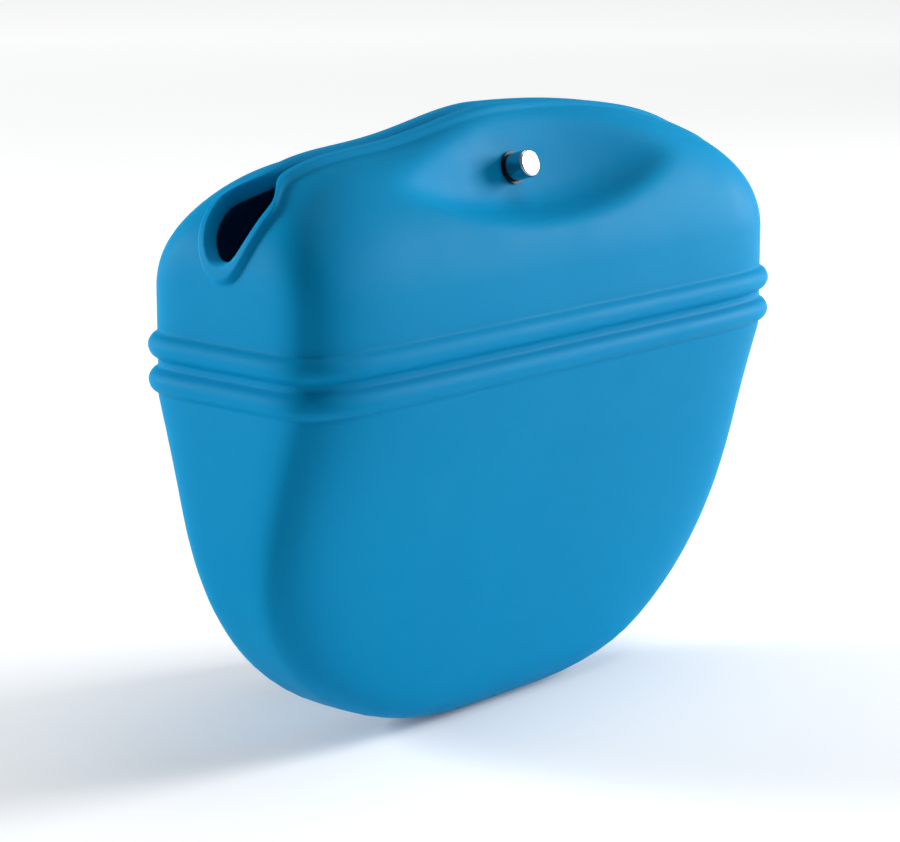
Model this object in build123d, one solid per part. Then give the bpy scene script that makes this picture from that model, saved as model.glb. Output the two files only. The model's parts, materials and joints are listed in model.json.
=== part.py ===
from build123d import *
import math
import os

# A silicone treat pouch with a magnetic mouth and a sprung belt clip on its back.
# Millimetres. It is drawn about its own middle: +X along its width, -Y its front, +Z up, with
# z = 0 at the bottom of the bowl. Every piece is then moved so that the origin of the part is
# the middle of the belt slot.

# Silicone moulding: overall sizes are over the two ribs that run round it.
WIDTH = 125.0
DEPTH = 45.0
HEIGHT = 105.0
WALL = 2.0
RIB_RADIUS = 2.2
RIB_PROUD = 1.6
RIB_PITCH = 5.7
LOWER_RIB = HEIGHT - 41.1
FOOT_DEPTH = 18.5        # front to back of the narrow lower part
FLARE_HEIGHT = LOWER_RIB - 2.9   # where the walls reach their full depth
FLARE_POWER = 1.95       # how late the walls flare out
BOTTOM_ROUND = 44.5      # height over which the ends curve in to the bottom
BOTTOM_POWER = 2.35      # squareness of the bottom seen from the front
EDGE_ROUND = 8.0         # height over which front and back curve in to the bottom
EDGE_POWER = 2.4
DOME_START = HEIGHT - 26.0       # above this the walls curve in to the mouth
ARCH_POWER = 2.8         # squareness of the dome seen from the front
DOME_POWER = 1.75        # roundness of the dome seen from the side
MOUTH_LAND = 2.6         # half depth that the dome keeps at its very top
SIDE_BULGE = 1.2         # how far the middle of each side stands out from its ends
CORNER_SHARE = 0.58      # corner radius of a level as a share of its half depth
CORNER_MAX = 12.0
FLAT = 0.5               # the bottom and the top are flat for this much of their curve

# Mouth: lips meet in the middle and gape in a rounded drop at each end.
SLIT_GAP = 0.6
SLIT_STRAIGHT = 30.0
MOUTH_HALF = WIDTH / 2 - 1.5
GAPE_WIDTH = 8.4
GAPE_PLACE = MOUTH_HALF - 8.0
MOUTH_FLOOR = HEIGHT - 21.0

# The part of the front wall that bends outwards when the mouth is pulled open.
LIP_HALF = WIDTH * 0.32
LIP_HINGE_HEIGHT = LOWER_RIB + RIB_PITCH + RIB_RADIUS + 2.2
FLEX_GAP = 0.3

# Hollow above the shoulder, front and back, that leaves the thin lip standing.
SCOOP_REACH = LIP_HALF - 4.0     # half length along the mouth
SCOOP_CORNER = (9.8, HEIGHT - 16.9)   # inner corner at the middle: distance from mouth, height
SCOOP_SPREAD = 8.0       # how far the corner has moved outwards at the end of the reach
SCOOP_RISE = 10.0        # how far it has risen there
SCOOP_RADIUS = 5.0
LIP_LEAN = 17.0          # degrees from upright
LEDGE_FALL = 8.0         # degrees from level
SCOOP_MARGIN = 12.0      # how far the cutter runs past the silicone

# Stud, washer, ring magnet and keeper disc, one set in each lip.
STUD_HEIGHT = SCOOP_CORNER[1] + 6.4
STUD_DIAMETER = 4.8
STUD_LENGTH = 3.8
STUD_EDGE = 0.4
SHANK_DIAMETER = 3.0
SHANK_CLEARANCE = 0.05
WASHER_DIAMETER = 5.6
WASHER_THICKNESS = 0.4
MAGNET_DIAMETER = 12.0
MAGNET_THICKNESS = 2.0
KEEPER_DIAMETER = 10.0
KEEPER_THICKNESS = 0.5
RIVET_DIAMETER = 4.4
RIVET_THICKNESS = 0.5
SEAT_CLEARANCE = 0.05
WASHER_GAP = 0.12        # the lip's face curves slightly under the flat washer

# Belt clip on the back.
CLIP_WIDTH = 32.0
CLIP_STAND_OFF = 2.0     # how far the base's outer face stands behind the ribs
CLIP_FACE = DEPTH / 2 + CLIP_STAND_OFF
CLIP_BASE_HIGH = LOWER_RIB - 3.4
CLIP_BASE_LOW = CLIP_BASE_HIGH - 33.5
CLIP_SKIN = 2.4
CLIP_CORNER = 4.0
BELT_GAP = 6.0
EAR_THICKNESS = 2.6
EAR_RADIUS = 4.2
PIVOT_HEIGHT = CLIP_BASE_HIGH - 6.5
PIN_DIAMETER = 2.5
PIN_CLEARANCE = 0.06
ARM_SIDE_GAP = 0.4
ARM_THICKNESS = 2.8
ARM_EDGE = 0.9           # rounding of the arm's outer edges
ARM_LOW = 6.0
ARM_HIGH = PIVOT_HEIGHT + 19.0
ARM_LUG = 4.0
LUG_CLEARANCE = 0.4
NIB_DEPTH = 3.6
NIB_HEIGHT = 3.0
GRIP_GROOVES = 4
GRIP_PITCH = 3.0
GRIP_RADIUS = 0.7

# Torsion spring on the clip's pin.
WIRE_DIAMETER = 0.9
COIL_TURNS = 3.5
COIL_PITCH = 1.05
SPRING_LEG = 8.5

# Screws that hold the clip from inside the pouch.
SCREW_HEIGHTS = (CLIP_BASE_HIGH - 26.5, CLIP_BASE_HIGH - 13.5)
SCREW_DIAMETER = 3.0
SCREW_HEAD_DIAMETER = 5.6
SCREW_HEAD_HEIGHT = 1.6
SCREW_BITE = 4.0
SOCKET_ACROSS = 2.0
SOCKET_DEPTH = 1.0
BOSS_DIAMETER = 7.0
SCREW_WASHER_DIAMETER = 9.0
SCREW_WASHER_THICKNESS = 0.8
WALL_CLEARANCE = 0.1

# The clip's pin runs along the middle of the belt gap, above the slot.
SLOT_MIDDLE_Y = CLIP_FACE + BELT_GAP / 2
SLOT_MIDDLE_Z = (ARM_LOW + PIVOT_HEIGHT) / 2
FAR = 200.0


def curve_in(height, start, end, power):
    """Share of the full size left at a height between start, all of it, and end, none of it."""
    travelled = (height - start) / (end - start)
    if travelled <= 0:
        return 1.0
    return (1 - min(travelled, 1.0) ** power) ** (1 / power)


def half_width(height, inset=0.0):
    """Half width of the moulding at a height, or of its hollow when inset by the wall."""
    full = WIDTH / 2 - RIB_PROUD - inset
    bottom = curve_in(height, BOTTOM_ROUND, inset, BOTTOM_POWER)
    top = curve_in(height, DOME_START, HEIGHT - inset, ARCH_POWER)
    return full * bottom * top


def wall_depth(height):
    """Half depth of the flared front and back walls at a height."""
    foot = FOOT_DEPTH / 2
    full = DEPTH / 2 - RIB_PROUD
    return foot + (full - foot) * min(height / FLARE_HEIGHT, 1.0) ** FLARE_POWER


def half_depth(height, inset=0.0):
    """Half depth of the moulding at a height, or of its hollow when inset by the wall."""
    bottom = curve_in(height, EDGE_ROUND + inset, inset, EDGE_POWER)
    top = curve_in(height, DOME_START, HEIGHT - inset, DOME_POWER)
    wall = wall_depth(height) - inset
    return (MOUTH_LAND + (wall - MOUTH_LAND) * top) * bottom


def level(width, depth, height):
    """A horizontal outline: a rectangle of half sizes with bulged sides and rounded corners."""
    bulge = min(SIDE_BULGE, depth / 6)
    x, y = width - bulge, depth - bulge
    with BuildSketch(Plane.XY.offset(height)) as outline:
        with BuildLine():
            ThreePointArc((-x, -y), (0, -depth), (x, -y))
            ThreePointArc((x, -y), (width, 0), (x, y))
            ThreePointArc((x, y), (0, depth), (-x, y))
            ThreePointArc((-x, y), (-width, 0), (-x, -y))
        make_face()
        fillet(outline.vertices(), min(CORNER_MAX, CORNER_SHARE * depth))
    return outline.sketch.face()


def pouch_form(inset=0.0):
    """The closed form of the moulding, or of its hollow, lofted from bottom to top."""
    low, high = inset, HEIGHT - inset
    steps = (0.0, 1.5, 4.0, 8.0, 14.0, 22.0, 32.0, 44.0, 56.0, DOME_START - inset)
    heights = [low + step for step in steps]
    dome = high - DOME_START
    heights += [DOME_START + dome * share for share in (0.22, 0.42, 0.6, 0.75, 0.87, 0.95, 1.0)]
    sections = []
    for height in heights:
        sized = min(max(height, low + FLAT), high - FLAT)
        sections.append(level(half_width(sized, inset), half_depth(sized, inset), height))
    return loft(sections)


def scoop(grow=0.0):
    """Cutter for the hollow above the front shoulder; grow moves its faces into the wall."""
    lean = math.radians(LIP_LEAN)
    fall = math.radians(LEDGE_FALL)
    # Moves the corner so that both of its faces go into the silicone by the same amount.
    shift_in = (math.cos(fall) - math.sin(lean)) / math.cos(lean + fall)
    shift_down = (math.cos(lean) - math.sin(fall)) / math.cos(lean + fall)
    top = HEIGHT + SCOOP_MARGIN
    out = DEPTH
    sections = []
    for share in (-1.0, -0.66, -0.33, 0.0, 0.33, 0.66, 1.0):
        away = SCOOP_CORNER[0] + SCOOP_SPREAD * share**2 - grow * shift_in
        corner = SCOOP_CORNER[1] + SCOOP_RISE * share**2 - grow * shift_down
        lip_top = away - (top - corner) * math.tan(lean)
        ledge_end = corner - (out - away) * math.tan(fall)
        plane = Plane(origin=(share * SCOOP_REACH, 0, 0), x_dir=(0, -1, 0), z_dir=(-1, 0, 0))
        with BuildSketch(plane) as section:
            with BuildLine():
                Polyline((away, corner), (out, ledge_end), (out, top), (lip_top, top), close=True)
            make_face()
            fillet(section.vertices().sort_by_distance((away, corner, 0))[0], SCOOP_RADIUS + grow)
        sections.append(section.sketch.face())
    return loft(sections)


def both_sides(front):
    """A front feature and its copy at the back."""
    return front + mirror(front, about=Plane.XZ)


def mouth_cutter():
    """The slit between the lips, widening to a rounded drop at each end."""
    gap = SLIT_GAP / 2
    widest = GAPE_WIDTH / 2
    with BuildSketch(Plane.XY.offset(MOUTH_FLOOR)) as opening:
        with BuildLine() as edge:
            Line((0, -gap), (SLIT_STRAIGHT, -gap))
            Spline(
                (SLIT_STRAIGHT, -gap), (GAPE_PLACE, -widest), (MOUTH_HALF, 0),
                tangents=((1, 0), (0, 1)),
            )
            mirror(edge.edges(), about=Plane.XZ)
            mirror(edge.edges(), about=Plane.YZ)
        make_face()
    return extrude(opening.sketch, amount=HEIGHT)


def ribs():
    """Two rounded beads that run all the way round under the dome."""
    beads = []
    for height in (LOWER_RIB, LOWER_RIB + RIB_PITCH):
        path = level(WIDTH / 2 - RIB_RADIUS, DEPTH / 2 - RIB_RADIUS, height).outer_wire()
        start = path @ 0
        bead = Plane(origin=start, z_dir=path % 0)
        beads.append(sweep(bead * Circle(RIB_RADIUS), path=path))
    return beads[0] + beads[1]


def lip_plane():
    """Plane on the outer face of the front lip at the stud, its normal pointing outwards."""
    lean = math.radians(LIP_LEAN)
    away = SCOOP_CORNER[0] - (STUD_HEIGHT - SCOOP_CORNER[1]) * math.tan(lean)
    normal = (0, -math.cos(lean), math.sin(lean))
    return Plane(origin=(0, -away, STUD_HEIGHT), x_dir=(1, 0, 0), z_dir=normal)


def wall_plane(height, inset=0.0):
    """Plane on the back wall at a height, or inside it, its normal pointing outwards."""
    step = 0.5
    slope = (wall_depth(height + step) - wall_depth(height - step)) / (2 * step)
    surface = Plane(origin=(0, wall_depth(height), height), x_dir=(1, 0, 0), z_dir=(0, 1, -slope))
    return surface.offset(-inset)


def disc(plane, diameter, near, far, hole=0.0):
    """A round disc on a plane from one distance to another, with an optional hole."""
    ring = Circle(diameter / 2)
    if hole:
        ring -= Circle(hole / 2)
    return extrude(plane.offset(near) * ring, amount=far - near)


def silicone():
    """The whole moulding, before the flexing part of the front wall is cut free."""
    hollow = pouch_form(WALL) - both_sides(scoop(WALL))
    skin = pouch_form() + ribs()
    skin = skin - both_sides(scoop()) - hollow - mouth_cutter()
    shank = disc(lip_plane(), SHANK_DIAMETER + 2 * SHANK_CLEARANCE, -2 * WALL, WALL)
    skin -= both_sides(shank)
    for height in SCREW_HEIGHTS:
        skin -= disc(wall_plane(height), SCREW_DIAMETER + 2 * SHANK_CLEARANCE, -2 * WALL, WALL)
    return skin, hollow


def lip_region(gap):
    """Block that holds the flexing part of the front wall, smaller by the gap."""
    low = LIP_HINGE_HEIGHT + gap
    block = Box(
        2 * (LIP_HALF - gap), DEPTH, HEIGHT - low + SCOOP_MARGIN,
        align=(Align.CENTER, Align.MAX, Align.MIN),
    )
    return Pos(0, 0, low) * block


def magnet_set():
    """Stud, washer, ring magnet and keeper disc of the front lip, outside to inside."""
    plane = lip_plane()
    hole = SHANK_DIAMETER + 2 * SHANK_CLEARANCE
    magnet_near = -WALL - SEAT_CLEARANCE
    keeper_near = magnet_near - MAGNET_THICKNESS - SEAT_CLEARANCE
    rivet_near = keeper_near - KEEPER_THICKNESS - SEAT_CLEARANCE
    washer_far = WASHER_GAP + WASHER_THICKNESS
    head_near = washer_far + SEAT_CLEARANCE
    head = disc(plane, STUD_DIAMETER, head_near, head_near + STUD_LENGTH)
    head = fillet(head.edges().sort_by(Axis(plane.origin, plane.z_dir))[-1], STUD_EDGE)
    shank = disc(plane, SHANK_DIAMETER, rivet_near, head_near)
    rivet = disc(plane, RIVET_DIAMETER, rivet_near - RIVET_THICKNESS, rivet_near)
    return {
        "stud": head + shank + rivet,
        "washer": disc(plane, WASHER_DIAMETER, WASHER_GAP, washer_far, hole),
        "magnet": disc(plane, MAGNET_DIAMETER, magnet_near - MAGNET_THICKNESS, magnet_near, hole),
        "keeper": disc(plane, KEEPER_DIAMETER, keeper_near - KEEPER_THICKNESS, keeper_near, hole),
    }


def clip_base():
    """Hollow wedge between the sloping back wall and the upright clip, with two ears."""
    tall = CLIP_BASE_HIGH - CLIP_BASE_LOW
    middle = (CLIP_BASE_HIGH + CLIP_BASE_LOW) / 2
    face = Plane.XZ.offset(-CLIP_FACE)
    outline = RectangleRounded(CLIP_WIDTH, tall, CLIP_CORNER)
    room = RectangleRounded(CLIP_WIDTH - 2 * CLIP_SKIN, tall - 2 * CLIP_SKIN, CLIP_CORNER - CLIP_SKIN)
    block = extrude(face * Pos(0, middle) * outline, amount=CLIP_FACE)
    pocket = extrude(face.offset(CLIP_SKIN) * Pos(0, middle) * room, amount=CLIP_FACE)
    shell = block - pocket
    for height in SCREW_HEIGHTS:
        boss = disc(wall_plane(height), BOSS_DIAMETER, -WALL, CLIP_FACE)
        shell += boss & block
    shell -= pouch_form(-WALL_CLEARANCE)
    for height in SCREW_HEIGHTS:
        hole = disc(wall_plane(height), SCREW_DIAMETER + 2 * SHANK_CLEARANCE, -WALL, SCREW_BITE + 0.3)
        shell -= hole
    for side in (-1, 1):
        shell += Pos(side * (CLIP_WIDTH - EAR_THICKNESS) / 2, 0, 0) * ear()
    return shell


def ear():
    """One ear of the clip's base, with the hole that grips the pin."""
    side = Plane.YZ.offset(-EAR_THICKNESS / 2)
    lobe = side * Pos(SLOT_MIDDLE_Y, PIVOT_HEIGHT) * Circle(EAR_RADIUS)
    foot = side * Pos(SLOT_MIDDLE_Y - EAR_RADIUS, PIVOT_HEIGHT) * Rectangle(
        2 * EAR_RADIUS, 2 * EAR_RADIUS
    )
    bore = side * Pos(SLOT_MIDDLE_Y, PIVOT_HEIGHT) * Circle(PIN_DIAMETER / 2)
    return extrude(lobe + foot - bore, amount=EAR_THICKNESS) & clip_side()


def clip_side():
    """Everything outside the plane just under the outer face of the clip's base."""
    low = CLIP_FACE - CLIP_SKIN
    return Pos(0, low, PIVOT_HEIGHT) * Box(
        FAR, FAR, FAR, align=(Align.CENTER, Align.MIN, Align.CENTER)
    )


def clip_pin():
    """Steel pin through both ears and the arm's lugs."""
    pin = Cylinder(PIN_DIAMETER / 2, CLIP_WIDTH)
    return Pos(0, SLOT_MIDDLE_Y, PIVOT_HEIGHT) * Rot(0, 90, 0) * pin


def clip_arm():
    """Arm with a thumb pad above the pin, two lugs on it and a nib at its lower end."""
    wide = CLIP_WIDTH - 2 * EAR_THICKNESS - 2 * ARM_SIDE_GAP
    inner = CLIP_FACE + BELT_GAP
    tall = ARM_HIGH - ARM_LOW
    outline = RectangleRounded(wide, tall, CLIP_CORNER)
    plate = extrude(
        Plane.XZ.offset(-inner) * Pos(0, (ARM_HIGH + ARM_LOW) / 2) * outline, amount=-ARM_THICKNESS
    )
    plate = fillet(plate.faces().sort_by(Axis.Y)[-1].edges(), ARM_EDGE)
    nib = Pos(0, inner, ARM_LOW + CLIP_CORNER) * Box(
        wide - 2 * CLIP_CORNER, NIB_DEPTH, NIB_HEIGHT, align=(Align.CENTER, Align.MAX, Align.MIN)
    )
    nib = fillet(nib.edges().filter_by(Axis.X).group_by(Axis.Y)[0], NIB_HEIGHT / 3)
    arm = plate + nib
    radius = BELT_GAP / 2 - LUG_CLEARANCE
    for side in (-1, 1):
        at = Pos(side * (wide - ARM_LUG) / 2, SLOT_MIDDLE_Y, PIVOT_HEIGHT)
        lug = at * Rot(0, 90, 0) * Cylinder(radius, ARM_LUG)
        web = at * Box(
            ARM_LUG, (BELT_GAP + ARM_THICKNESS) / 2, 2 * radius,
            align=(Align.CENTER, Align.MIN, Align.CENTER),
        )
        arm += lug + web
    for groove in range(GRIP_GROOVES):
        height = ARM_HIGH - CLIP_CORNER - groove * GRIP_PITCH
        cutter = Cylinder(GRIP_RADIUS, wide - 2 * CLIP_CORNER)
        arm -= Pos(0, inner + ARM_THICKNESS, height) * Rot(0, 90, 0) * cutter
    bore = Cylinder(PIN_DIAMETER / 2 + PIN_CLEARANCE, FAR)
    return arm - Pos(0, SLOT_MIDDLE_Y, PIVOT_HEIGHT) * Rot(0, 90, 0) * bore


def clip_spring():
    """Torsion spring round the pin: close turns and two straight legs that point up."""
    radius = (BELT_GAP - WIRE_DIAMETER) / 2 - SEAT_CLEARANCE
    length = COIL_PITCH * COIL_TURNS
    helix = Rot(0, 0, -90) * Helix(pitch=COIL_PITCH, height=length, radius=radius)
    ends = [Plane(origin=helix @ end, z_dir=helix % end) * Circle(WIRE_DIAMETER / 2) for end in (0, 1)]
    spring = sweep(ends[0], path=helix, is_frenet=True)
    spring += extrude(ends[0], amount=-SPRING_LEG)
    spring += extrude(ends[1], amount=SPRING_LEG)
    return Rot(0, 90, 0) * Pos(0, 0, -length / 2) * spring


def screw_set():
    """Screws from inside the pouch and the washers under their heads."""
    screws = []
    washers = []
    for height in SCREW_HEIGHTS:
        plane = wall_plane(height, WALL + WALL_CLEARANCE)
        washer_far = SCREW_WASHER_THICKNESS
        head_far = washer_far + SEAT_CLEARANCE + SCREW_HEAD_HEIGHT
        hole = SCREW_DIAMETER + 2 * SHANK_CLEARANCE
        washers.append(disc(plane, SCREW_WASHER_DIAMETER, -washer_far, 0, hole))
        head = disc(plane, SCREW_HEAD_DIAMETER, -head_far, -washer_far - SEAT_CLEARANCE)
        socket = extrude(
            plane.offset(-head_far) * RegularPolygon(SOCKET_ACROSS / 2, 6, major_radius=False),
            amount=SOCKET_DEPTH,
        )
        shank = disc(plane, SCREW_DIAMETER, -head_far + SOCKET_DEPTH, WALL + SCREW_BITE)
        screws.append(head + shank - socket)
    return screws, washers


def write(name, solids):
    """Move a node so that the belt slot is at the origin, and write it."""
    pieces = solids if isinstance(solids, list) else [solids]
    shift = Pos(0, -SLOT_MIDDLE_Y, -SLOT_MIDDLE_Z)
    moved = [shift * solid for piece in pieces for solid in piece.solids()]
    export_step(Compound(children=moved), f"parts/{name}.step")


def main():
    os.makedirs("parts", exist_ok=True)
    skin, hollow = silicone()
    write("pouch_body", skin - lip_region(0.0))
    write("front_lip", skin & lip_region(FLEX_GAP))
    for name, piece in magnet_set().items():
        write(f"front_{name}", piece)
        write(f"back_{name}", mirror(piece, about=Plane.XZ))
    write("clip_base", clip_base())
    write("clip_arm", clip_arm())
    write("clip_pin", clip_pin())
    write("clip_spring", Pos(0, SLOT_MIDDLE_Y, PIVOT_HEIGHT) * clip_spring())
    screws, washers = screw_set()
    write("clip_screws", screws)
    write("clip_washers", washers)


main()
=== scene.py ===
import json
import math

import bpy
import numpy as np
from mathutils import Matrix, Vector

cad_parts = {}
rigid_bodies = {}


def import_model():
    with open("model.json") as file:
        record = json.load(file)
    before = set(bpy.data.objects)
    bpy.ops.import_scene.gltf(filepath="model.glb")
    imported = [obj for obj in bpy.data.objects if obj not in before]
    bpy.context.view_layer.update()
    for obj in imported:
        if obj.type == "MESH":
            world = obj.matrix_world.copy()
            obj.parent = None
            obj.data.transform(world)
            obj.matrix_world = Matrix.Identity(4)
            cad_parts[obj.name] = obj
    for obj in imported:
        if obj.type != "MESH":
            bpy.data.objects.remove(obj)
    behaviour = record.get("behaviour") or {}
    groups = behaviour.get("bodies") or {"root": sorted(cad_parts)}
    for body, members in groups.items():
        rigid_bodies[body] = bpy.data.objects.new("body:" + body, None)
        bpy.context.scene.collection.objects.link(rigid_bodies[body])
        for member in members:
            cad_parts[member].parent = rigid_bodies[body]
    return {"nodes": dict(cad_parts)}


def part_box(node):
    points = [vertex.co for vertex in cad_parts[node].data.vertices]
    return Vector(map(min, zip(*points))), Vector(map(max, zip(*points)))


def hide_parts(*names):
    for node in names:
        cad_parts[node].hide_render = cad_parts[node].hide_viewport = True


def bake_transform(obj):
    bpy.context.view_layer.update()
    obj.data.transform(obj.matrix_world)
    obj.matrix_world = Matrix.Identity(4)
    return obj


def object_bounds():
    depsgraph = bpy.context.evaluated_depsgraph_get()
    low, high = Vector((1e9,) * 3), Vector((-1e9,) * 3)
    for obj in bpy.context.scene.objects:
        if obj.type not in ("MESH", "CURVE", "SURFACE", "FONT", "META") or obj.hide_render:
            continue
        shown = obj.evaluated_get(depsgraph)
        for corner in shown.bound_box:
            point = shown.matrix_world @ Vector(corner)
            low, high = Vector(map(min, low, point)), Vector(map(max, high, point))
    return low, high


bl_info = {
    "name": "Treat pouch",
    "version": (1, 0, 0),
    "blender": (4, 5, 0),
    "location": "View3D > Sidebar > Treat pouch",
    "description": "Builds the looks of a silicone treat pouch with a belt clip on its frame",
    "category": "Object",
}

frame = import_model()
FRAME_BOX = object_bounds()

MM = 0.001
POUCH_LOW, POUCH_HIGH = (np.array(corner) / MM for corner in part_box("pouch_body"))
# Middle of the pouch in plan and the height of its bottom, in millimetres of the frame.
PLACE = np.array([
    (POUCH_LOW[0] + POUCH_HIGH[0]) / 2, (POUCH_LOW[1] + POUCH_HIGH[1]) / 2, POUCH_LOW[2],
])
WIDTH, DEPTH, HEIGHT = POUCH_HIGH - POUCH_LOW

# The moulding, in millimetres from PLACE.
WALL = 2.0
RIB_PROUD = 1.6
RIB_RADIUS = 2.2
RIB_PITCH = 5.7
RIB_SOFT = 0.3           # how softly a rib meets the wall
LOWER_RIB = HEIGHT - 41.1
FOOT_DEPTH = 18.5
FLARE_HEIGHT = LOWER_RIB - 2.9
FLARE_POWER = 1.95
BOTTOM_ROUND = 44.5
BOTTOM_POWER = 2.35
EDGE_ROUND = 8.0
EDGE_POWER = 2.4
DOME_START = HEIGHT - 26.0
ARCH_POWER = 3.0
DOME_POWER = 1.75
MOUTH_LAND = 2.6
CROWN = 3.0              # how much lower the mouth's edge is at its ends than in its middle
CROWN_POWER = 1.4        # how that fall grows from the middle
FOOT_SQUARENESS = 4.6    # of a level's outline at the bottom: 2 is an ellipse
SQUARENESS = 7.5         # and round the ribs
TOP_SQUARENESS = 3.6     # and at the very top

# The hollow above each shoulder.
SCOOP_CORNER = (9.8, HEIGHT - 16.9)
SCOOP_REACH = WIDTH * 0.32
SCOOP_SPREAD = 5.5
SCOOP_RISE = 9.0
LIP_LEAN = math.tan(math.radians(17.0))
LEDGE_FALL = math.tan(math.radians(6.0))
SCOOP_SOFT = 1.1         # how softly its two faces meet
SHOULDER_SOFT = 0.7      # and how softly it meets the dome

# The mouth.
MOUTH_HALF = WIDTH / 2 - 2.05
SLIT_HALF_GAP = 0.32
GAPE_PLACE = MOUTH_HALF - 6.0
GAPE_SQUARENESS = 3.0
GAPE_START = 46.5        # where the slit begins to open towards its end
GAPE_EASE = 1.35         # how late it opens: 1 is a plain smooth rise
END_SAG = 2.3            # how far the open end at -X sags
END_SAG_PLACE = -25.0
END_SAG_REACH = 27.0
RIM_REACH = 4.8
TOP_ROOM = 1.0           # room for the bead under the overall height
NOSE = WALL * 0.62       # distance from the mouth's edge over which the lip is rounded off
BEAD_LEAD = 0.7          # how far the bead's foot lies past its width
BEAD_SOFT = 1.1          # width of that foot
LIP_KEPT = 0.9           # share of the lip's distance from the slit that the hollow may take

# The moulding's mesh: points in a quarter of each ring, and its levels.
QUARTER = 66
OUTLINE_STEPS = 600      # steps in which an outline is worked out before it is evenly spaced
OUTLINE_CROWDING = 0.49  # how much closer these steps are at its end and middle
# Discs that close the foot: their share of the lowest level, and their heights.
FOOT_DISCS = ((0.02, 0.0), (0.3, 0.0), (0.62, 0.05), (0.86, 0.2))
EDGE_LEVELS = (0.5, 0.8, 1.2, 1.8, 2.6, 3.6, 4.8, 6.2, 8.0, 10.0, 12.5)
BOWL_START = 15.0
RIB_BAND = 4.0           # height below and above the ribs' middles where the levels are close
BELOW_BAND = 0.4         # from that band to the level below it
ABOVE_BAND = 0.6         # and to the one above it
DOME_LEVELS = 40
NOSE_BAND = 1.4          # distance from the mouth's edge where the levels are closest
RIM_START = 1.7
RIM_SHARE = 0.72         # largest share of the dome that the rim's levels take up
HALVINGS = 40            # steps in which the dome's height is found
NO_EDGE = 99.0           # stands for the distance from the mouth's edge below the dome

# The clip's torsion spring, round its pin.
WIRE = 0.9
COIL_TURNS = 3.5
COIL_PITCH = 1.05
SPRING_LEG = 8.5
SPRING_RADIUS = 2.5
COIL_POINTS = 150
LEG_POINTS = 12
WIRE_SIDES = 14

# The stage, in metres. Its floor glows past a circle whose centre is on the camera's side, so
# it is pale behind the pouch and dim in front, which shades the corner nearest the camera.
FLOOR_SIZE = 6.0
GLOW_CENTRE = (-0.62, -0.58, 0.0)
GLOW_NEAR, GLOW_FAR = 1.05, 2.1
GLOW_LOW, GLOW_HIGH = 0.05, 0.6
ROOM_LIGHT = 0.26

# The camera, at the left front and a little above the mouth's height.
CAMERA_TURN = math.radians(-48.3)
CAMERA_RISE = math.radians(12.5)
CAMERA_DISTANCE = 0.519
CAMERA_TARGET = (-6.9, 0.0, 50.7)   # millimetres from PLACE
CAMERA_LENS = 120.6
CAMERA_SENSOR = 36.0


def linear(value):
    """An sRGB hex colour as linear RGBA."""
    channels = [int(value[i:i + 2], 16) / 255 for i in (1, 3, 5)]
    return tuple(c / 12.92 if c <= 0.04045 else ((c + 0.055) / 1.055) ** 2.4 for c in channels) + (1.0,)


def smooth_step(value):
    """0 below 0, 1 above 1, and a smooth rise between."""
    clipped = np.clip(value, 0.0, 1.0)
    return clipped * clipped * (3 - 2 * clipped)


def soft_plus(value, width):
    """value where it is above 0, else 0, with the corner rounded over a width."""
    return width * np.logaddexp(0.0, value / width)


# ---------------------------------------------------------------- form of the moulding

def curve_in(height, start, end, power):
    """Share of the full size left at a height between start, all of it, and end, none of it."""
    travelled = np.clip((height - start) / (end - start), 0.0, 1.0)
    return (1 - travelled ** power) ** (1 / power)


def half_width(height):
    """Half width of the moulding at a height, without its ribs."""
    bottom = curve_in(height, BOTTOM_ROUND, 0.0, BOTTOM_POWER)
    return (WIDTH / 2 - RIB_PROUD) * bottom * curve_in(height, DOME_START, HEIGHT, ARCH_POWER)


def half_depth(height):
    """Half depth of the moulding at a height, without its ribs."""
    foot = FOOT_DEPTH / 2
    flare = np.minimum(height / FLARE_HEIGHT, 1.0) ** FLARE_POWER
    wall = foot + (DEPTH / 2 - RIB_PROUD - foot) * flare
    dome = curve_in(height, DOME_START, HEIGHT, DOME_POWER)
    return (MOUTH_LAND + (wall - MOUTH_LAND) * dome) * curve_in(height, EDGE_ROUND, 0.0, EDGE_POWER)


def squareness(height):
    """Exponent of the outline at a height."""
    foot = smooth_step((FLARE_HEIGHT - height) / FLARE_HEIGHT)
    top = smooth_step((height - DOME_START) / (HEIGHT - DOME_START))
    return SQUARENESS + (FOOT_SQUARENESS - SQUARENESS) * foot + (TOP_SQUARENESS - SQUARENESS) * top


def spaced(points, distances):
    """Points along a polyline at the given distances from its start."""
    steps = np.linalg.norm(np.diff(points, axis=0), axis=1)
    run = np.concatenate([[0.0], np.cumsum(steps)])
    return np.stack([np.interp(distances, run, axis) for axis in points.T], axis=1), run[-1]


def length_of(points):
    """Length of a polyline."""
    return np.linalg.norm(np.diff(points, axis=0), axis=1).sum()


def quarter_outline(width, depth, power):
    """A quarter of a level from its end to its middle, evenly spaced, in plan."""
    turn = np.linspace(0.0, math.pi / 2, OUTLINE_STEPS)
    # The turn is crowded towards both ends, where the outline runs fastest.
    turn = turn - OUTLINE_CROWDING * np.sin(4 * turn) / 2
    line = np.stack([
        width * np.cos(turn) ** (2 / power), depth * np.sin(turn) ** (2 / power),
    ], axis=1)
    line[-1, 0] = 0.0
    places, _ = spaced(line, np.linspace(0.0, length_of(line), QUARTER + 1))
    return places


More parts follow.
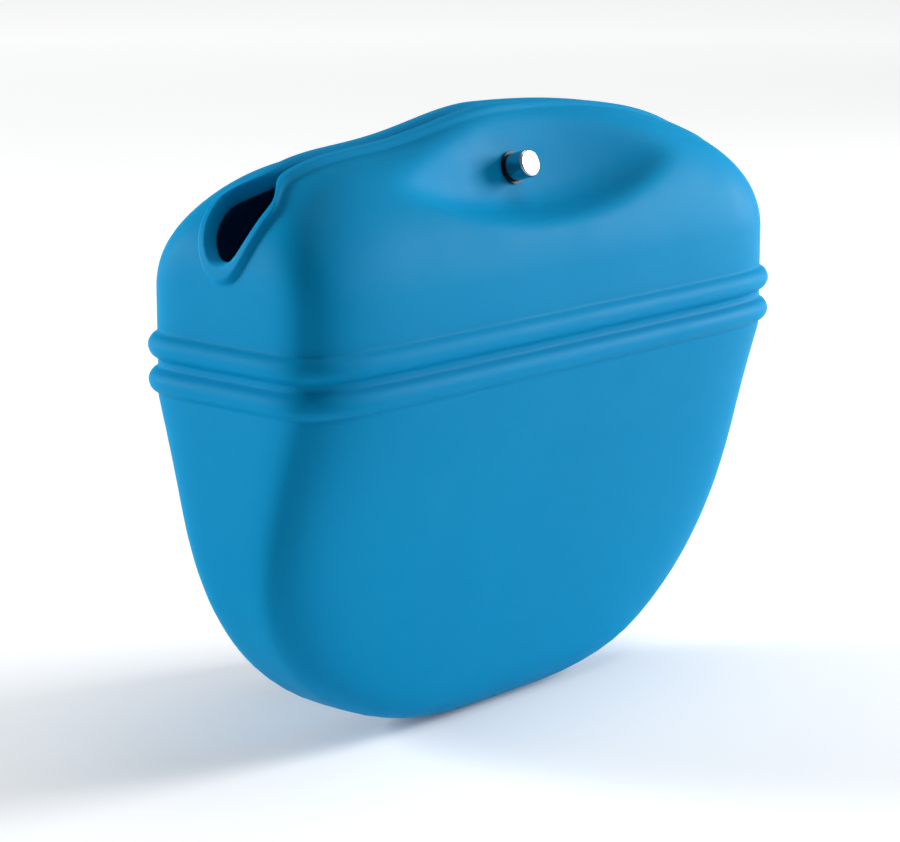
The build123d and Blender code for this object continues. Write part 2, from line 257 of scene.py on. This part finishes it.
def quarter_mouth(gape):
    """A quarter of the mouth's edge in plan, from its end to its middle, evenly spaced."""
    turn = np.linspace(0.0, math.pi / 2, 200)
    end = np.stack([
        GAPE_PLACE + (MOUTH_HALF - GAPE_PLACE) * np.cos(turn) ** (2 / GAPE_SQUARENESS),
        gape * np.sin(turn) ** (2 / GAPE_SQUARENESS),
    ], axis=1)
    along = np.linspace(GAPE_PLACE, 0.0, 400)[1:]
    closing = smooth_step((along - GAPE_START) / (GAPE_PLACE - GAPE_START)) ** GAPE_EASE
    rest = np.stack([along, SLIT_HALF_GAP + (gape - SLIT_HALF_GAP) * closing], axis=1)
    line = np.concatenate([end, rest])
    places, _ = spaced(line, np.linspace(0.0, length_of(line), QUARTER + 1))
    return places


def whole_ring(quarter):
    """A closed ring from a quarter of it: end, front, other end and back."""
    flip_x, flip_y = np.array([-1.0, 1.0]), np.array([1.0, -1.0])
    return np.concatenate([
        quarter[:-1] * flip_y,
        (quarter[::-1] * flip_x * flip_y)[:-1],
        quarter[:-1] * flip_x,
        quarter[::-1][:-1],
    ])


def dome_height(plan):
    """Height of the dome over points in plan, found by halving."""
    low = np.full(len(plan), DOME_START)
    high = np.full(len(plan), HEIGHT)
    for _ in range(HALVINGS):
        middle = (low + high) / 2
        power = squareness(middle)
        wide = np.maximum(half_width(middle), 1e-6)
        out = (np.abs(plan[:, 0]) / wide) ** power + (np.abs(plan[:, 1]) / half_depth(middle)) ** power
        low = np.where(out < 1, middle, low)
        high = np.where(out < 1, high, middle)
    # The mouth's edge falls a little towards its ends, leaves room for the bead and sags at -X.
    share = ((low + high) / 2 - DOME_START) / (HEIGHT - DOME_START)
    lower = CROWN * (np.abs(plan[:, 0]) / MOUTH_HALF) ** CROWN_POWER + TOP_ROOM
    from_sag = np.clip((plan[:, 0] - END_SAG_PLACE) / END_SAG_REACH, -1.0, 1.0)
    lower = lower + END_SAG * np.cos(from_sag * math.pi / 2) ** 2
    return DOME_START + share * (HEIGHT - DOME_START - lower)


def scooped(points):
    """The points, moved in where the hollows above the shoulders take silicone away."""
    share = points[..., 0] / SCOOP_REACH
    away = SCOOP_CORNER[0] + SCOOP_SPREAD * share ** 2
    corner = SCOOP_CORNER[1] + SCOOP_RISE * share ** 2
    out = np.abs(points[..., 1])
    past_lip = (out - away + (points[..., 2] - corner) * LIP_LEAN) / (1 + LIP_LEAN)
    past_ledge = (points[..., 2] - corner + (out - away) * LEDGE_FALL) / (1 + LEDGE_FALL)
    nearer = -SCOOP_SOFT * np.logaddexp(-past_lip / SCOOP_SOFT, -past_ledge / SCOOP_SOFT)
    move = soft_plus(nearer, SHOULDER_SOFT)
    # At the mouth's edge the lip keeps its place, so the slit stays closed.
    move = np.minimum(move, np.maximum(out - SLIT_HALF_GAP, 0.0) * LIP_KEPT)
    result = points.copy()
    result[..., 1] -= np.sign(points[..., 1]) * move
    result[..., 2] -= move
    return result


def wall_rings():
    """Rings of the plain form from the bottom up to the start of the dome."""
    band = (LOWER_RIB - RIB_BAND, LOWER_RIB + RIB_PITCH + RIB_BAND)
    heights = np.concatenate([
        EDGE_LEVELS,
        np.linspace(BOWL_START, band[0] - BELOW_BAND, 26),
        np.linspace(*band, 46),
        np.linspace(band[1] + ABOVE_BAND, DOME_START, 7),
    ])
    lowest = EDGE_LEVELS[0]
    disc = whole_ring(quarter_outline(half_width(lowest), half_depth(lowest), FOOT_SQUARENESS))
    rings = [
        np.column_stack([disc * share, np.full(len(disc), height)]) for share, height in FOOT_DISCS
    ]
    for height in heights:
        plan = whole_ring(quarter_outline(half_width(height), half_depth(height), squareness(height)))
        rings.append(np.column_stack([plan, np.full(len(plan), height)]))
    return np.stack(rings)


def dome_rings(gape):
    """Rings of the plain form from the start of the dome to the mouth's edge, and how far
    each point is from that edge."""
    foot = whole_ring(quarter_outline(half_width(DOME_START), half_depth(DOME_START), SQUARENESS))
    edge = whole_ring(quarter_mouth(gape))
    # Crowded at the foot, where the wall is upright.
    shares = 1 - np.cos(np.linspace(0.0, math.pi / 2, 161))
    near = np.concatenate([np.linspace(0.0, NOSE_BAND, 8), np.linspace(RIM_START, RIM_REACH, 10)])
    lines, nears = [], []
    for first, last in zip(foot, edge):
        plan = first + (last - first) * shares[:, None]
        path = np.column_stack([plan, dome_height(plan)])
        path[0, 2] = DOME_START
        path = scooped(path)
        length = length_of(path)
        rim = min(RIM_REACH, length * RIM_SHARE)
        from_edge = np.concatenate([
            np.linspace(length, rim, DOME_LEVELS)[1:-1], near[::-1] * rim / RIM_REACH,
        ])
        places, _ = spaced(path, length - from_edge)
        lines.append(places)
        nears.append(from_edge)
    return np.stack(lines, axis=1), np.stack(nears, axis=1)


def ring_normals(rings):
    """Outward normals of a grid of closed rings."""
    around = np.roll(rings, -1, axis=1) - np.roll(rings, 1, axis=1)
    upward = np.gradient(rings, axis=0)
    normal = np.cross(upward, around)
    normal /= np.maximum(np.linalg.norm(normal, axis=2, keepdims=True), 1e-9)
    # A third of the way up the wall is upright, so there the right side is the one away from
    # the axis.
    upright = len(rings) // 3
    away = (normal[upright, :, :2] * rings[upright, :, :2]).sum(axis=1)
    return normal * np.sign(np.sign(away).mean())


def rib_bump(height):
    """How far the ribs stand out of the wall at a height."""
    proud = np.zeros_like(height)
    for centre in (LOWER_RIB, LOWER_RIB + RIB_PITCH):
        inside = np.maximum(RIB_RADIUS ** 2 - (height - centre) ** 2, 0.0)
        bead = np.sqrt(inside) - (RIB_RADIUS - RIB_PROUD)
        # A small fillet at the foot of the bead.
        bead = soft_plus(bead, RIB_SOFT) - soft_plus(-(RIB_RADIUS - RIB_PROUD), RIB_SOFT)
        proud = np.maximum(proud, bead)
    return proud


def pouch_points(gape, rim_width, rim_proud):
    """Outer and inner rings of the whole moulding, in millimetres from PLACE."""
    wall = wall_rings()
    dome, dome_near = dome_rings(gape)
    base = np.concatenate([wall, dome])
    near = np.concatenate([np.full(wall.shape[:2], NO_EDGE), dome_near])
    normal = ring_normals(base)
    normal[:len(FOOT_DISCS)] = (0.0, 0.0, -1.0)
    # The lip ends in a round nose, and a flat bead follows the mouth on the outside.
    full = np.clip(near / NOSE, 0.0, 1.0)
    round_off = np.sqrt(1 - (1 - full) ** 2)
    bead = rim_proud * smooth_step((rim_width + BEAD_LEAD - near) / BEAD_SOFT)
    outer_rise = (WALL / 2 + bead) * round_off + rib_bump(base[..., 2]) * (near == NO_EDGE)
    inner_fall = WALL / 2 * round_off
    middle = base - normal * (WALL / 2)
    outer = middle + normal * outer_rise[..., None]
    inner = middle - normal * inner_fall[..., None]
    return outer, inner


def ring_mesh(name, rings, capped):
    """A mesh through closed rings, closed by a fan at each capped end."""
    count, around = rings.shape[:2]
    points = [tuple(point) for point in ((rings.reshape(-1, 3) + PLACE) * MM)]
    faces = []
    for ring in range(count - 1):
        for place in range(around):
            after = (place + 1) % around
            a, b = ring * around + place, ring * around + after
            faces.append((a, b, b + around, a + around))
    for ring, turned in capped:
        points.append(tuple((rings[ring].mean(axis=0) + PLACE) * MM))
        for place in range(around):
            pair = (ring * around + place, ring * around + (place + 1) % around)
            faces.append((*(pair[::-1] if turned else pair), len(points) - 1))
    mesh = bpy.data.meshes.new(name)
    mesh.from_pydata(points, [], faces)
    mesh.validate()
    piece = bpy.data.objects.new(name, mesh)
    bpy.context.collection.objects.link(piece)
    return piece


def deselect_all():
    """Nothing selected, so that the next operator acts on one piece."""
    for item in bpy.context.view_layer.objects:
        item.select_set(False)


def pick(piece):
    """Make a piece the only one selected, and active."""
    deselect_all()
    piece.select_set(True)
    bpy.context.view_layer.objects.active = piece


def face_outwards(piece):
    """Turn a closed piece's faces outwards and shade it smooth."""
    pick(piece)
    bpy.ops.object.mode_set(mode="EDIT")
    bpy.ops.mesh.select_all(action="SELECT")
    bpy.ops.mesh.normals_make_consistent(inside=False)
    bpy.ops.object.mode_set(mode="OBJECT")
    bpy.ops.object.shade_smooth()


# ---------------------------------------------------------------- materials

def add_node(tree, kind, inputs=None, **settings):
    """Add a node with its settings, and set or link its inputs."""
    made = tree.nodes.new(kind)
    for name, value in settings.items():
        setattr(made, name, value)
    for name, value in (inputs or {}).items():
        if isinstance(value, bpy.types.NodeSocket):
            tree.links.new(value, made.inputs[name])
        else:
            made.inputs[name].default_value = value
    return made


def new_material(name):
    """An empty node material, its tree and its object coordinates."""
    material = bpy.data.materials.new(name)
    material.use_nodes = True
    tree = material.node_tree
    tree.nodes.clear()
    coordinates = add_node(tree, "ShaderNodeTexCoord").outputs["Object"]
    return material, tree, coordinates


def per_mm(size):
    """Texture scale that makes one cell of a pattern a size in millimetres."""
    return 1.0 / (size * MM)


def finish_material(tree, inputs):
    """Close a material with its shader."""
    shader = add_node(tree, "ShaderNodeBsdfPrincipled", inputs)
    add_node(tree, "ShaderNodeOutputMaterial", {"Surface": shader.outputs["BSDF"]})


def matte_silicone(colour, deep):
    """Silicone rubber, compression moulded in a blasted tool: a soft matte skin with a faint
    broad sheen, that dust and fingers make a little uneven."""
    material, tree, place = new_material("Matte moulded silicone")
    # Pigment that is a little uneven over some centimetres.
    cloud = add_node(tree, "ShaderNodeTexNoise", {
        "Vector": place, "Scale": per_mm(34.0), "Detail": 3.0, "Roughness": 0.5,
    })
    tint = add_node(tree, "ShaderNodeMix", {
        "Factor": cloud.outputs["Fac"], "A": colour, "B": deep,
    }, data_type="RGBA")
    # Blasted tool texture of about 0.1 mm, drawn at 0.45 mm so that it shows.
    grain = add_node(tree, "ShaderNodeTexNoise", {
        "Vector": place, "Scale": per_mm(0.45), "Detail": 2.0, "Roughness": 0.6,
    })
    # Slow waves of a soft wall.
    waves = add_node(tree, "ShaderNodeTexNoise", {
        "Vector": place, "Scale": per_mm(22.0), "Detail": 1.0, "Roughness": 0.4,
    })
    handled = add_node(tree, "ShaderNodeTexNoise", {
        "Vector": place, "Scale": per_mm(9.0), "Detail": 4.0, "Roughness": 0.62,
    })
    gloss = add_node(tree, "ShaderNodeMapRange", {
        "Value": handled.outputs["Fac"], "From Min": 0.3, "From Max": 0.7,
        "To Min": 0.5, "To Max": 0.6,
    })
    soft = add_node(tree, "ShaderNodeBump", {
        "Height": waves.outputs["Fac"], "Strength": 0.35, "Distance": 0.35 * MM,
    })
    skin = add_node(tree, "ShaderNodeBump", {
        "Height": grain.outputs["Fac"], "Strength": 0.22, "Distance": 0.05 * MM,
        "Normal": soft.outputs["Normal"],
    })
    finish_material(tree, {
        "Base Color": tint.outputs["Result"], "Roughness": gloss.outputs["Result"],
        "Normal": skin.outputs["Normal"], "IOR": 1.41, "Specular IOR Level": 0.06,
        "Subsurface Weight": 0.3, "Subsurface Radius": (0.2, 0.7, 1.0),
        "Subsurface Scale": 2.5 * MM,
    })
    return material


def plated_metal(name, colour, dark, rough, grit):
    """Plated steel: a metal that shows fine turning marks and a slightly cloudy plate."""
    material, tree, place = new_material(name)
    marks = add_node(tree, "ShaderNodeTexNoise", {
        "Vector": place, "Scale": per_mm(grit), "Detail": 4.0, "Roughness": 0.6,
    })
    cloud = add_node(tree, "ShaderNodeTexNoise", {
        "Vector": place, "Scale": per_mm(grit * 6), "Detail": 2.0,
    })
    tint = add_node(tree, "ShaderNodeMix", {
        "Factor": cloud.outputs["Fac"], "A": linear(colour), "B": linear(dark),
    }, data_type="RGBA")
    gloss = add_node(tree, "ShaderNodeMapRange", {
        "Value": marks.outputs["Fac"], "From Min": 0.3, "From Max": 0.7,
        "To Min": rough * 0.75, "To Max": rough * 1.3,
    })
    bump = add_node(tree, "ShaderNodeBump", {
        "Height": marks.outputs["Fac"], "Strength": 0.12, "Distance": 0.02 * MM,
    })
    finish_material(tree, {
        "Base Color": tint.outputs["Result"], "Roughness": gloss.outputs["Result"],
        "Normal": bump.outputs["Normal"], "Metallic": 1.0,
    })
    return material


def spark_abs(colour):
    """ABS, injection moulded in a spark-eroded tool: dark, even, with a fine pebbled skin."""
    material, tree, place = new_material("Black ABS, spark texture")
    # Spark texture of about 0.15 mm, drawn at 0.4 mm so that it shows.
    pebble = add_node(tree, "ShaderNodeTexVoronoi", {"Vector": place, "Scale": per_mm(0.4)})
    rubbed = add_node(tree, "ShaderNodeTexNoise", {
        "Vector": place, "Scale": per_mm(7.0), "Detail": 4.0, "Roughness": 0.65,
    })
    gloss = add_node(tree, "ShaderNodeMapRange", {
        "Value": rubbed.outputs["Fac"], "From Min": 0.3, "From Max": 0.7,
        "To Min": 0.42, "To Max": 0.56,
    })
    tint = add_node(tree, "ShaderNodeMix", {
        "Factor": rubbed.outputs["Fac"], "A": linear(colour), "B": linear("#232427"),
    }, data_type="RGBA")
    bump = add_node(tree, "ShaderNodeBump", {
        "Height": pebble.outputs["Distance"], "Strength": 0.3, "Distance": 0.04 * MM,
    })
    finish_material(tree, {
        "Base Color": tint.outputs["Result"], "Roughness": gloss.outputs["Result"],
        "Normal": bump.outputs["Normal"], "IOR": 1.53,
    })
    return material


def paint(piece, material):
    """Give a piece or a CAD node one material."""
    piece.data.materials.clear()
    piece.data.materials.append(material)


# ---------------------------------------------------------------- settings

class SiliconeSettings(bpy.types.PropertyGroup):
    """Sizes and colours of the silicone moulding."""
    colour: bpy.props.FloatVectorProperty(
        name="Colour", description="Pigment of the silicone", subtype="COLOR", size=4,
        default=linear("#0084b4"), min=0.0, max=1.0,
    )
    deep_colour: bpy.props.FloatVectorProperty(
        name="Deep colour", description="Pigment where it is a little denser", subtype="COLOR",
        size=4, default=linear("#007cad"), min=0.0, max=1.0,
    )
    gape: bpy.props.FloatProperty(
        name="Gape", description="Half width of the opening at each end of the mouth",
        default=5.0 * MM, min=1.0 * MM, max=7.0 * MM, unit="LENGTH",
    )
    rim_width: bpy.props.FloatProperty(
        name="Rim width", description="Width of the bead round the mouth",
        default=3.2 * MM, min=1.0 * MM, max=4.0 * MM, unit="LENGTH",
    )
    rim_proud: bpy.props.FloatProperty(
        name="Rim height", description="How far the bead stands out of the dome",
        default=0.95 * MM, min=0.0, max=1.5 * MM, unit="LENGTH",
    )


class StageSettings(bpy.types.PropertyGroup):
    """Powers of the softboxes."""
    key_power: bpy.props.FloatProperty(
        name="Key light", description="Power of the softbox on the left", default=14.0,
        min=0.0, subtype="POWER", unit="POWER",
    )
    fill_power: bpy.props.FloatProperty(
        name="Fill light", description="Power of the softbox at the right front", default=7.6,
        min=0.0, subtype="POWER", unit="POWER",
    )
    top_power: bpy.props.FloatProperty(
        name="Top light", description="Power of the softbox overhead", default=2.2,
        min=0.0, subtype="POWER", unit="POWER",
    )


# ---------------------------------------------------------------- operators

class TREATPOUCH_OT_silicone(bpy.types.Operator):
    """Build the silicone moulding as one skin"""
    bl_idname = "treat_pouch.silicone"
    bl_label = "Silicone moulding"

    def execute(self, context):
        settings = context.scene.treat_pouch_silicone
        outer, inner = pouch_points(settings.gape / MM, settings.rim_width / MM, settings.rim_proud / MM)
        # Up the outside, over the mouth's edge and down the inside to the floor of the hollow.
        rings = np.concatenate([outer, inner[:-1][::-1]])
        piece = ring_mesh("silicone_pouch", rings, ((0, True), (len(rings) - 1, False)))
        face_outwards(piece)
        paint(piece, matte_silicone(settings.colour, settings.deep_colour))
        self.bend(piece)
        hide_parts("pouch_body", "front_lip")
        return {"FINISHED"}

    def bend(self, piece):
        """Bake the skin's place into its mesh and read its points in millimetres from PLACE."""
        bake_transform(piece)
        count = len(piece.data.vertices)
        places = np.empty(count * 3)
        piece.data.vertices.foreach_get("co", places)
        places = places.reshape(-1, 3) / MM - PLACE


class TREATPOUCH_OT_hardware(bpy.types.Operator):
    """Finish the studs, magnets, washers and keepers"""
    bl_idname = "treat_pouch.hardware"
    bl_label = "Studs and magnets"

    def execute(self, context):
        chrome = plated_metal("Chrome plate, polished", "#b9bdc3", "#9a9fa6", 0.2, 0.25)
        nickel = plated_metal("Nickel plate, barrel plated", "#b9b4ab", "#a19b91", 0.3, 0.3)
        zinc = plated_metal("Zinc plate, bright", "#aeb1b4", "#93969a", 0.34, 0.35)
        oxide = plated_metal("Black oxide steel", "#2a2c30", "#1d1f22", 0.4, 0.35)
        for side in ("front", "back"):
            paint(frame["nodes"][f"{side}_stud"], chrome)
            paint(frame["nodes"][f"{side}_magnet"], nickel)
            paint(frame["nodes"][f"{side}_washer"], oxide)
            paint(frame["nodes"][f"{side}_keeper"], zinc)
        return {"FINISHED"}


class TREATPOUCH_OT_clip(bpy.types.Operator):
    """Finish the belt clip on the back, its pin, spring and screws"""
    bl_idname = "treat_pouch.clip"
    bl_label = "Belt clip"

    def execute(self, context):
        plastic = spark_abs("#17181a")
        steel = plated_metal("Zinc plated steel pin", "#a6a9ad", "#8c8f93", 0.32, 0.3)
        wire = plated_metal("Drawn spring wire", "#6f7176", "#5b5d61", 0.28, 0.2)
        paint(frame["nodes"]["clip_base"], plastic)
        paint(frame["nodes"]["clip_arm"], plastic)
        for name in ("clip_pin", "clip_screws", "clip_washers"):
            paint(frame["nodes"][name], steel)
        spring, share = self.spring()
        paint(spring, wire)
        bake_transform(spring)
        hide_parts("clip_spring")
        return {"FINISHED"}

    def spring(self):
        """The wire from its leg on the base, round the pin, to its leg on the arm, and how far
        each point goes with the arm."""
        pin = [np.array(corner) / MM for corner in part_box("clip_pin")]
        middle = (pin[0] + pin[1]) / 2 - PLACE
        turn = np.linspace(0.0, COIL_TURNS * 2 * math.pi, COIL_POINTS)
        coil = np.stack([
            COIL_PITCH * (turn / (2 * math.pi) - COIL_TURNS / 2),
            -SPRING_RADIUS * np.cos(turn), -SPRING_RADIUS * np.sin(turn),
        ], axis=1)
        rise = np.linspace(SPRING_LEG, 0.0, LEG_POINTS)[:-1, None] * np.array([0.0, 0.0, 1.0])
        path = np.concatenate([coil[0] + rise, coil, coil[-1] + rise[::-1]]) + middle
        along = np.gradient(path, axis=0)
        along /= np.linalg.norm(along, axis=1, keepdims=True)
        side = np.cross(along, (1.0, 0.0, 0.0))
        side /= np.linalg.norm(side, axis=1, keepdims=True)
        other = np.cross(along, side)
        spin = np.linspace(0.0, 2 * math.pi, WIRE_SIDES + 1)[:-1, None]
        rings = np.stack([
            place + WIRE / 2 * (np.cos(spin) * a + np.sin(spin) * b)
            for place, a, b in zip(path, side, other)
        ])
        piece = ring_mesh("torsion_spring", rings, ((0, True), (len(rings) - 1, False)))
        face_outwards(piece)
        share = smooth_step((np.arange(len(path)) - len(rise)) / len(coil))
        return piece, np.concatenate([np.repeat(share, rings.shape[1]), share[[0, -1]]])


class TREATPOUCH_OT_stage(bpy.types.Operator):
    """Add the floor, the softboxes and the camera"""
    bl_idname = "treat_pouch.stage"
    bl_label = "Stage"

    def execute(self, context):
        settings = context.scene.treat_pouch_stage
        floor_material, tree, place = new_material("White paper sweep with painted glow")
        fibre = add_node(tree, "ShaderNodeTexNoise", {"Vector": place, "Scale": per_mm(3.0), "Detail": 3.0})
        bump = add_node(tree, "ShaderNodeBump", {
            "Height": fibre.outputs["Fac"], "Strength": 0.05, "Distance": 0.05 * MM,
        })
        # Painted light: the sweep glows though it is no lamp, faintly on the camera's side and strongly far
        # from it, so the pouch's near corner falls into shade.
        far = add_node(tree, "ShaderNodeVectorMath", {
            "Vector": place, "Vector_001": GLOW_CENTRE,
        }, operation="DISTANCE")
        glow = add_node(tree, "ShaderNodeMapRange", {
            "Value": far.outputs["Value"], "From Min": GLOW_NEAR, "From Max": GLOW_FAR,
            "To Min": GLOW_LOW, "To Max": GLOW_HIGH,
        })
        finish_material(tree, {
            "Base Color": linear("#f6f7f8"), "Roughness": 0.9, "Normal": bump.outputs["Normal"],
            "Emission Color": (1.0, 1.0, 1.0, 1.0), "Emission Strength": glow.outputs["Result"],
        })
        deselect_all()
        middle = PLACE * MM
        bpy.ops.mesh.primitive_plane_add(
            size=FLOOR_SIZE, location=(middle[0], middle[1], FRAME_BOX[0][2]),
        )
        floor = context.active_object
        floor.name = "floor"
        bpy.ops.object.transform_apply(location=True, rotation=True, scale=True)
        paint(floor, floor_material)

        self.softbox("left_softbox", (-0.66, 0.9, 0.3), 0.4, settings.key_power)
        self.softbox("front_softbox", (0.66, -0.34, 0.2), 0.3, settings.fill_power)
        self.softbox("top_softbox", (0.25, -0.12, 0.8), 0.6, settings.top_power)

        world = bpy.data.worlds.new("Pale studio")
        world.use_nodes = True
        shade = world.node_tree.nodes["Background"]
        shade.inputs["Color"].default_value = (1.0, 1.0, 1.0, 1.0)
        shade.inputs["Strength"].default_value = ROOM_LIGHT
        context.scene.world = world

        # The strong pigment keeps its full saturation only in the plain view transform.
        context.scene.view_settings.view_transform = "Standard"

        target = Vector((PLACE + CAMERA_TARGET) * MM)
        away = Vector((
            math.sin(CAMERA_TURN) * math.cos(CAMERA_RISE),
            -math.cos(CAMERA_TURN) * math.cos(CAMERA_RISE),
            math.sin(CAMERA_RISE),
        ))
        bpy.ops.object.camera_add(location=target + away * CAMERA_DISTANCE)
        camera = context.active_object
        camera.name = "camera"
        camera.rotation_euler = (-away).to_track_quat("-Z", "Y").to_euler()
        camera.data.sensor_fit = "HORIZONTAL"
        camera.data.sensor_width = CAMERA_SENSOR
        camera.data.lens = CAMERA_LENS
        camera.data.clip_start = 0.01
        context.scene.camera = camera
        return {"FINISHED"}

    def softbox(self, name, place, size, power):
        """A square softbox that points at the middle of the pouch."""
        aim = Vector((PLACE + (0.0, 0.0, HEIGHT / 2)) * MM)
        light = bpy.data.lights.new(name, "AREA")
        light.shape = "SQUARE"
        light.size = size
        light.energy = power
        item = bpy.data.objects.new(name, light)
        item.location = aim + Vector(place)
        item.rotation_euler = (-Vector(place)).to_track_quat("-Z", "Y").to_euler()
        bpy.context.collection.objects.link(item)


class TREATPOUCH_PT_panel(bpy.types.Panel):
    """Sizes, lights and the steps that build the looks"""
    bl_idname = "TREATPOUCH_PT_panel"
    bl_label = "Treat pouch"
    bl_space_type = "VIEW_3D"
    bl_region_type = "UI"
    bl_category = "Treat pouch"

    def draw(self, context):
        layout = self.layout
        for group in (context.scene.treat_pouch_silicone, context.scene.treat_pouch_stage):
            box = layout.box()
            for name in group.__annotations__:
                box.prop(group, name)
        for step in STEPS:
            layout.operator(step.bl_idname)


GROUPS = (SiliconeSettings, StageSettings)
STEPS = (
    TREATPOUCH_OT_silicone, TREATPOUCH_OT_hardware, TREATPOUCH_OT_clip, TREATPOUCH_OT_stage,
)
CLASSES = GROUPS + STEPS + (TREATPOUCH_PT_panel,)


def register():
    """Register the classes, and put the settings on the scene."""
    for item in CLASSES:
        bpy.utils.register_class(item)
    bpy.types.Scene.treat_pouch_silicone = bpy.props.PointerProperty(type=SiliconeSettings)
    bpy.types.Scene.treat_pouch_stage = bpy.props.PointerProperty(type=StageSettings)


def unregister():
    """Take the settings and the classes out again."""
    del bpy.types.Scene.treat_pouch_stage
    del bpy.types.Scene.treat_pouch_silicone
    for item in reversed(CLASSES):
        bpy.utils.unregister_class(item)


def main():
    """Build the looks in order."""
    register()
    bpy.ops.treat_pouch.silicone()
    bpy.ops.treat_pouch.hardware()
    bpy.ops.treat_pouch.clip()
    bpy.ops.treat_pouch.stage()


if __name__ == "__main__":
    main()
